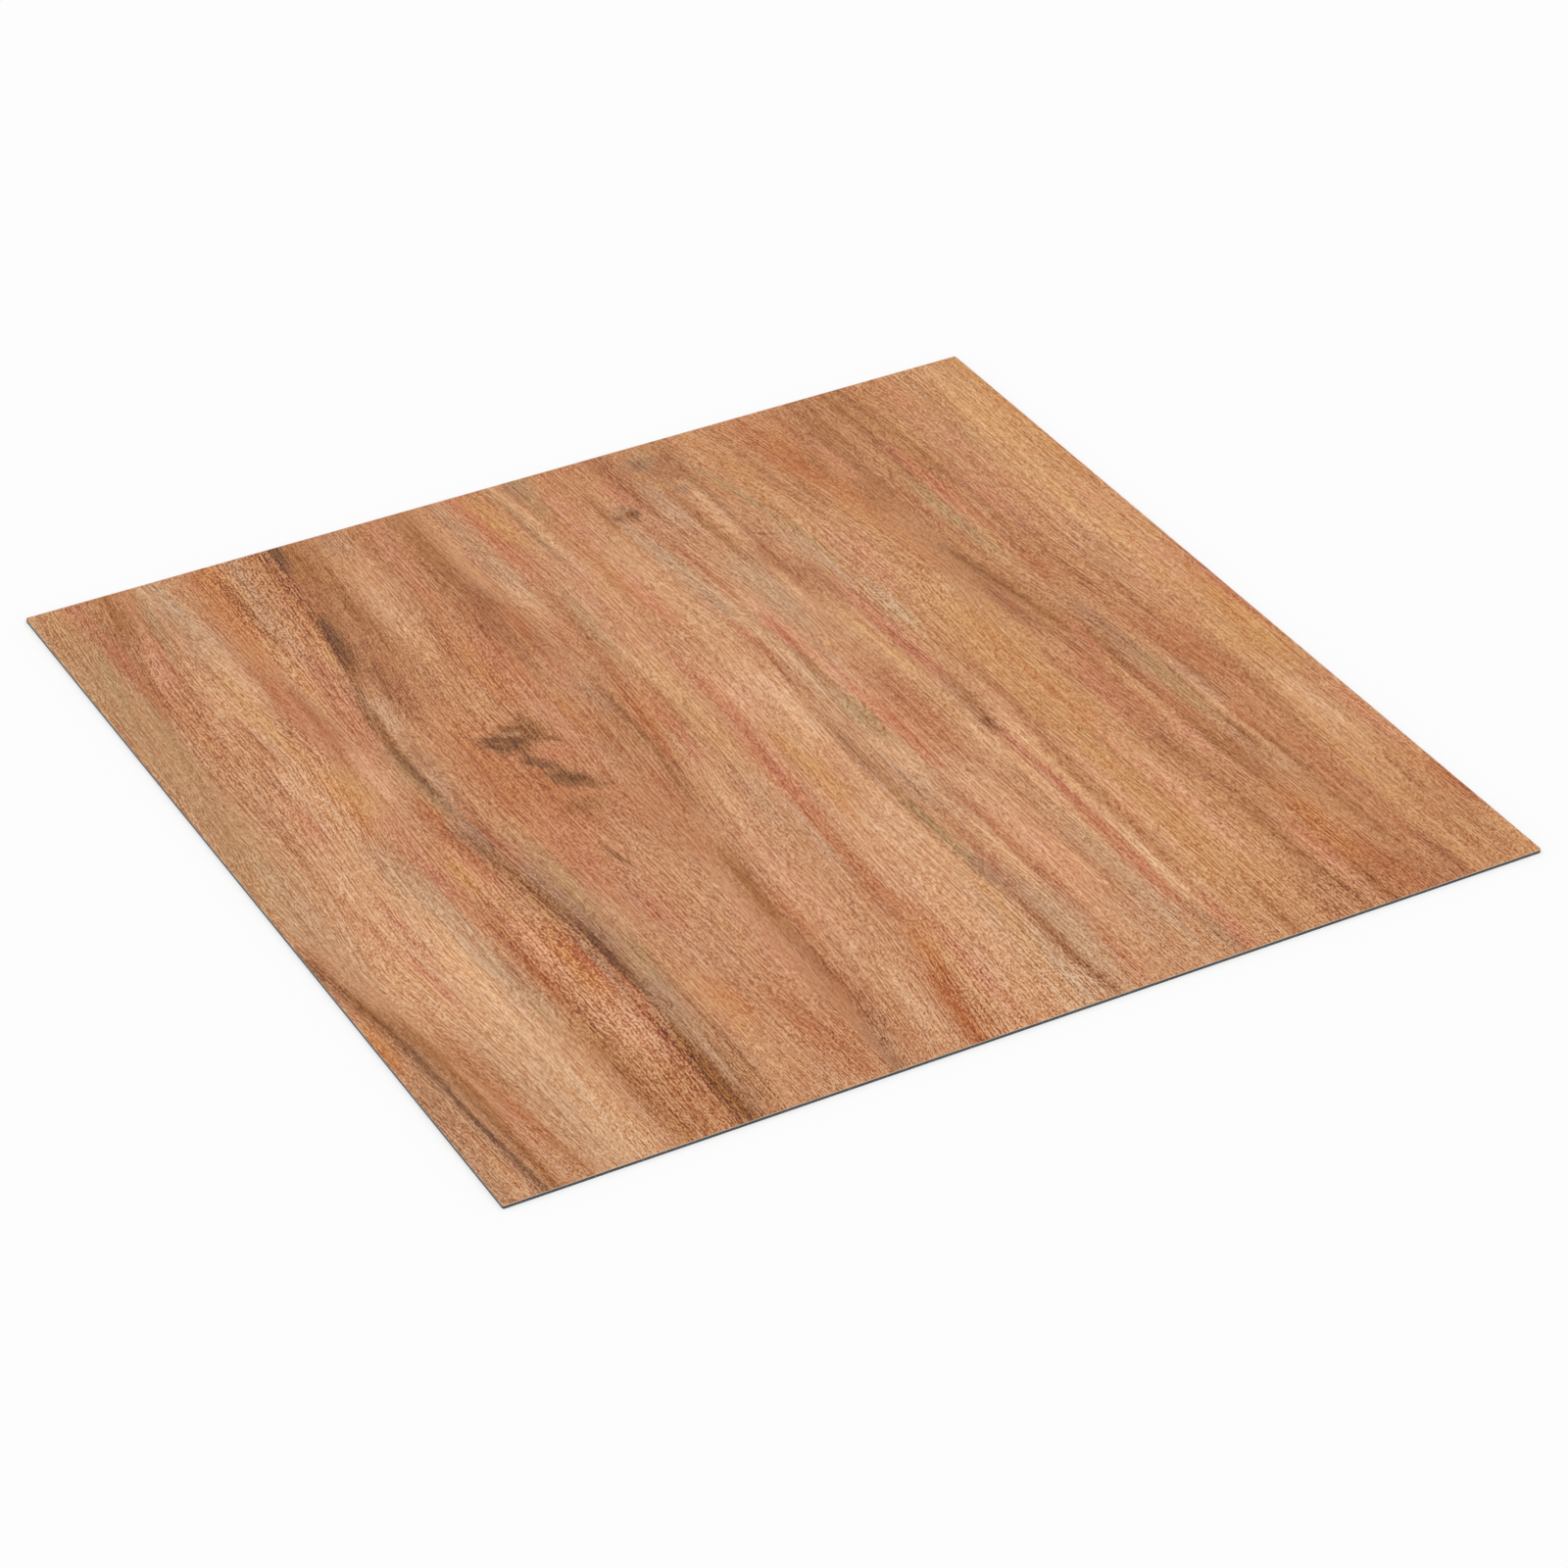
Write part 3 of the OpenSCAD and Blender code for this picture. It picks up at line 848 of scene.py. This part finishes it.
def store_print(mesh, figure, fibre, along, rim):
    """Keeps the drawn figure and the run of the grain with the mesh, for its material."""
    colours = np.concatenate([figure.reshape(-1, 3), figure.reshape(-1, 3)[rim]])
    colours = np.concatenate([colours, np.ones((len(colours), 1))], axis=1)
    grain = np.stack([fibre, along, np.zeros_like(along)], axis=-1).reshape(-1, 3)
    grain = np.concatenate([grain, grain[rim]])
    figure_layer = mesh.attributes.new("wood_figure", "FLOAT_COLOR", "POINT")
    figure_layer.data.foreach_set("color", colours.astype(np.float32).ravel())
    grain_layer = mesh.attributes.new("grain", "FLOAT_VECTOR", "POINT")
    grain_layer.data.foreach_set("vector", grain.astype(np.float32).ravel())


class Shader:
    """A material's node tree, with one short call for each kind of node."""

    def __init__(self, name, colour):
        self.material = bpy.data.materials.new(name)
        self.material.use_nodes = True
        linear = to_linear(colour)
        self.material.diffuse_color = (*linear, 1)
        self.tree = self.material.node_tree
        self.surface = self.tree.nodes["Principled BSDF"]
        self.column = 0

    def add(self, kind, inputs=(), **settings):
        """Adds a node, sets its properties and fills or links its inputs."""
        made = self.tree.nodes.new(kind)
        self.column += 1
        made.location = (-220 * (1 + self.column % 12), 200 - 180 * (self.column // 12))
        for key, value in settings.items():
            setattr(made, key, value)
        for key, value in dict(inputs).items():
            self.feed(made.inputs[key], value)
        return made

    def feed(self, socket, value):
        """Links a socket to another node's output, or sets its own value."""
        if isinstance(value, bpy.types.NodeSocket):
            self.tree.links.new(value, socket)
        else:
            socket.default_value = value

    def attribute(self, name, output):
        """A value that is kept with the mesh."""
        return self.add("ShaderNodeAttribute", attribute_name=name).outputs[output]

    def place(self):
        """Where the point lies in the frame, in metres."""
        return self.add("ShaderNodeTexCoord").outputs["Object"]

    def stretch(self, vector, scale, offset=(0, 0, 0), turn=0):
        """Moves, turns and scales coordinates."""
        inputs = {"Vector": vector, "Location": offset, "Rotation": (0, 0, turn), "Scale": scale}
        return self.add("ShaderNodeMapping", inputs).outputs["Vector"]

    def noise(self, vector, scale=1.0, detail=2.0, roughness=0.5):
        """Smooth noise around one half."""
        inputs = {"Vector": vector, "Scale": scale, "Detail": detail, "Roughness": roughness}
        return self.add("ShaderNodeTexNoise", inputs).outputs["Fac"]

    def math(self, operation, *values):
        """One arithmetic step."""
        made = self.add("ShaderNodeMath", operation=operation)
        for socket, value in zip(made.inputs, values):
            self.feed(socket, value)
        return made.outputs["Value"]

    def span(self, value, low, high, start=0.0, end=1.0, smoothly=True):
        """Carries a value from one range to another and stops at its ends."""
        kind = "SMOOTHSTEP" if smoothly else "LINEAR"
        inputs = {"Value": value, "From Min": low, "From Max": high, "To Min": start, "To Max": end}
        return self.add("ShaderNodeMapRange", inputs, interpolation_type=kind).outputs["Result"]

    def blend(self, cover, under, over, mode="MIX"):
        """Lays one colour over another."""
        made = self.add("ShaderNodeMix", data_type="RGBA", blend_type=mode)
        self.feed(made.inputs["Factor"], cover)
        self.feed(made.inputs[6], under)
        self.feed(made.inputs[7], over)
        return made.outputs[2]

    def brighten(self, colour, factor):
        """Scales a colour by a factor around one."""
        made = self.add("ShaderNodeVectorMath", operation="SCALE")
        self.feed(made.inputs[0], colour)
        self.feed(made.inputs["Scale"], factor)
        return made.outputs["Vector"]

    def lighten(self, colour, swing):
        """Makes a colour paler where the swing is above zero and darker where it is below."""
        power = self.math("MULTIPLY_ADD", swing, -FIBRE_AND_GLINT_POWER, 1.0)
        powered = self.add("ShaderNodeGamma", {"Color": colour, "Gamma": power})
        scale = self.math("MULTIPLY_ADD", swing, FIBRE_AND_GLINT_SCALE, 1.0)
        return self.brighten(powered.outputs["Color"], scale)

    def bump(self, height, distance, strength=1.0, normal=None):
        """Small relief, its height in metres."""
        inputs = {"Height": height, "Distance": distance, "Strength": strength}
        if normal is not None:
            inputs["Normal"] = normal
        return self.add("ShaderNodeBump", inputs).outputs["Normal"]


def rgba(colour):
    """A node colour for one that is written from 0 to 255."""
    return (*to_linear(colour), 1)


def blot_cover(wood, across_along, centre, half_size, turn):
    """Soft ragged spot, dense in its middle."""
    moved = wood.add("ShaderNodeVectorMath", {0: across_along, 1: (*centre, 0)}, operation="SUBTRACT")
    scale = (1 / half_size[0], 1 / half_size[1], 1)
    turned = wood.add(
        "ShaderNodeVectorRotate",
        {"Vector": moved.outputs["Vector"], "Angle": math.radians(turn)},
        rotation_type="Z_AXIS",
    )
    sized = wood.stretch(turned.outputs["Vector"], scale)
    reach = wood.add("ShaderNodeVectorMath", {0: sized}, operation="LENGTH").outputs["Value"]
    return wood.span(reach, 1.25, 0.45)


def print_material():
    """Wood print under a satin wear coat, with pores and fibres along the grain and painted highlights
    of the embossing on their pale ticks.
    """
    wood = Shader("wood_print", TINTS["ground"])
    grain = wood.attribute("grain", "Vector")
    colour = wood.attribute("wood_figure", "Color")

    # Knots and smudges, drawn on the face with ragged outlines
    from_corner = wood.stretch(
        wood.place(), (1 / MM, 1 / MM, 0), (PRINT_WIDTH / 2, PRINT_LENGTH / 2, 0)
    )
    ragged = wood.add("ShaderNodeTexNoise", {"Vector": wood.stretch(grain, (0.7, 0.4, 1)), "Scale": 1.0})
    waver = wood.add(
        "ShaderNodeVectorMath",
        {0: ragged.outputs["Color"], 1: (1.6, 2.0, 0), 2: (-0.8, -1.0, 0)},
        operation="MULTIPLY_ADD",
    )
    drawn = wood.add(
        "ShaderNodeVectorMath", {0: from_corner, 1: waver.outputs["Vector"]}, operation="ADD"
    )
    for tint, strength, centre, half_size, turn in BLOTS:
        cover = blot_cover(wood, drawn.outputs["Vector"], centre, half_size, turn)
        cover = wood.math("MULTIPLY", cover, strength)
        colour = wood.blend(cover, colour, (*to_print(TINTS[tint]), 1))

    # Slow change between a greyer and a warmer brown
    warmth = wood.noise(wood.stretch(grain, (0.5, 0.025, 1), (40, 0, 0)), detail=2.0)
    greyer = wood.blend(1.0, colour, (0.98, 1.0, 1.06, 1), "MULTIPLY")
    warmer = wood.blend(1.0, colour, (1.02, 1.0, 0.93, 1), "MULTIPLY")
    colour = wood.blend(wood.span(warmth, 0.35, 0.65), greyer, warmer)

    # Fibres and short ticks along the grain, the pale ones partly painted highlights of the embossing,
    # strong in some patches and weak in others
    patches = wood.noise(wood.stretch(grain, (0.12, 0.05, 1), (7, 3, 0)), detail=2.0)
    depth = wood.span(patches, 0.3, 0.7, 0.8, 1.2)
    total = 0.0
    for number, (across, along, swing) in enumerate(FIBRES_AND_GLINTS):
        cells = wood.stretch(grain, (across, along, 1), (30 * number, 0, 0), FIBRE_AND_GLINT_TURN)
        ticks = wood.noise(cells, detail=0.0)
        away = wood.math("SUBTRACT", ticks, 0.5)
        total = wood.math("MULTIPLY_ADD", away, swing, total)
    total = wood.math("MULTIPLY", total, depth)
    colour = wood.lighten(colour, wood.math("SMOOTH_MIN", total, FIBRE_AND_GLINT_LIMIT, FIBRE_AND_GLINT_LIMIT))

    wood.feed(wood.surface.inputs["Base Color"], colour)
    rough = wood.span(ticks, 0.2, 0.8, 0.50, 0.40, smoothly=False)
    wood.feed(wood.surface.inputs["Roughness"], rough)
    wood.feed(wood.surface.inputs["Specular IOR Level"], COAT_SPECULAR)
    wood.feed(wood.surface.inputs["Normal"], wood.bump(ticks, 0.00003, 0.6))
    return wood.material


def cut_edge_material():
    """Pale cut edge of the print film and the clear coat over it."""
    edge = Shader("cut_print_edge", (200, 176, 152))
    drag = edge.noise(edge.stretch(edge.place(), (1400, 1400, 250)), detail=2.0)
    mottle = edge.noise(edge.place(), 90.0, detail=2.0)
    colour = edge.blend(drag, rgba((186, 160, 138)), rgba((212, 192, 168)))
    colour = edge.brighten(colour, edge.span(mottle, 0.3, 0.7, 0.95, 1.05))
    edge.feed(edge.surface.inputs["Base Color"], colour)
    edge.feed(edge.surface.inputs["Roughness"], edge.span(drag, 0.2, 0.8, 0.45, 0.6))
    edge.feed(edge.surface.inputs["Normal"], edge.bump(drag, 0.00002, 0.5))
    return edge.material


def base_material():
    """Dark grey filled vinyl: limestone specks, cutter drag and a dull skin."""
    base = Shader("grey_vinyl", (66, 67, 70))
    place = base.place()
    specks = base.noise(place, 2600.0, detail=1.0)
    clouds = base.noise(place, 60.0, detail=3.0)
    drag = base.noise(base.stretch(place, (900, 900, 120)), detail=2.0)
    colour = base.blend(clouds, rgba((58, 59, 62)), rgba((74, 75, 78)))
    colour = base.blend(base.span(specks, 0.62, 0.72), colour, rgba((116, 116, 115)))
    colour = base.brighten(colour, base.span(drag, 0.25, 0.75, 0.92, 1.08))
    base.feed(base.surface.inputs["Base Color"], colour)
    base.feed(base.surface.inputs["Roughness"], base.span(clouds, 0.3, 0.7, 0.62, 0.78))
    height = base.math("ADD", drag, base.math("MULTIPLY", specks, 0.6))
    base.feed(base.surface.inputs["Normal"], base.bump(height, 0.00003, 0.6))
    return base.material


def shown_white(tree):
    """One where the camera, a mirror or glass looks, and zero where the light is gathered."""
    rays = tree.nodes.new("ShaderNodeLightPath")
    seen = rays.outputs["Is Camera Ray"]
    for name in ("Is Glossy Ray", "Is Transmission Ray"):
        either = tree.nodes.new("ShaderNodeMath")
        either.operation = "MAXIMUM"
        tree.links.new(seen, either.inputs[0])
        tree.links.new(rays.outputs[name], either.inputs[1])
        seen = either.outputs["Value"]
    return seen


def add_world():
    """Plain white surroundings that light the tile evenly."""
    world = bpy.data.worlds.new("studio")
    world.use_nodes = True
    bpy.context.scene.world = world
    tree = world.node_tree
    level = tree.nodes.new("ShaderNodeMapRange")
    level.inputs["To Min"].default_value = WORLD_LEVEL
    level.inputs["To Max"].default_value = BACKGROUND_LEVEL
    tree.links.new(shown_white(tree), level.inputs["Value"])
    tree.links.new(level.outputs["Result"], tree.nodes["Background"].inputs["Strength"])
    tree.nodes["Background"].inputs["Color"].default_value = (1, 1, 1, 1)


def add_key():
    """Soft key lamp, high and a little behind the camera's left."""
    data = bpy.data.lights.new("key", "SUN")
    data.energy = math.pi * KEY_SHARE / math.sin(KEY_ELEVATION)
    data.angle = KEY_SOFTNESS
    lamp = bpy.data.objects.new("key", data)
    towards = Vector(
        (
            math.cos(KEY_ELEVATION) * math.sin(KEY_AZIMUTH),
            math.cos(KEY_ELEVATION) * math.cos(KEY_AZIMUTH),
            math.sin(KEY_ELEVATION),
        )
    )
    lamp.rotation_euler = towards.to_track_quat("Z", "Y").to_euler()
    bpy.context.scene.collection.objects.link(lamp)


def add_floor():
    """Level white floor that the tile lies on."""
    half = 6.0
    mesh = bpy.data.meshes.new("floor")
    corners = [(-half, -half, 0), (half, -half, 0), (half, half, 0), (-half, half, 0)]
    mesh.from_pydata(corners, [], [(0, 1, 2, 3)])
    floor = bpy.data.objects.new("floor", mesh)
    bpy.context.scene.collection.objects.link(floor)
    paint = Shader("floor_white", (252, 252, 252))
    paint.surface.inputs["Base Color"].default_value = (*[BACKGROUND_LEVEL] * 3, 1)
    paint.surface.inputs["Roughness"].default_value = 0.9
    paint.surface.inputs["Specular IOR Level"].default_value = 0.0
    mesh.materials.append(paint.material)


def dress_tile():
    """Puts the embossed print over the grey base and gives both their materials."""
    face = build_print()
    face.data.materials.append(print_material())
    face.data.materials.append(cut_edge_material())
    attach(face, "root")
    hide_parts("printed_face")
    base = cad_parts["grey_base"]
    base.data.materials.clear()
    base.data.materials.append(base_material())


add_world()
add_key()
add_floor()
dress_tile()
bpy.context.scene.view_settings.view_transform = "Standard"
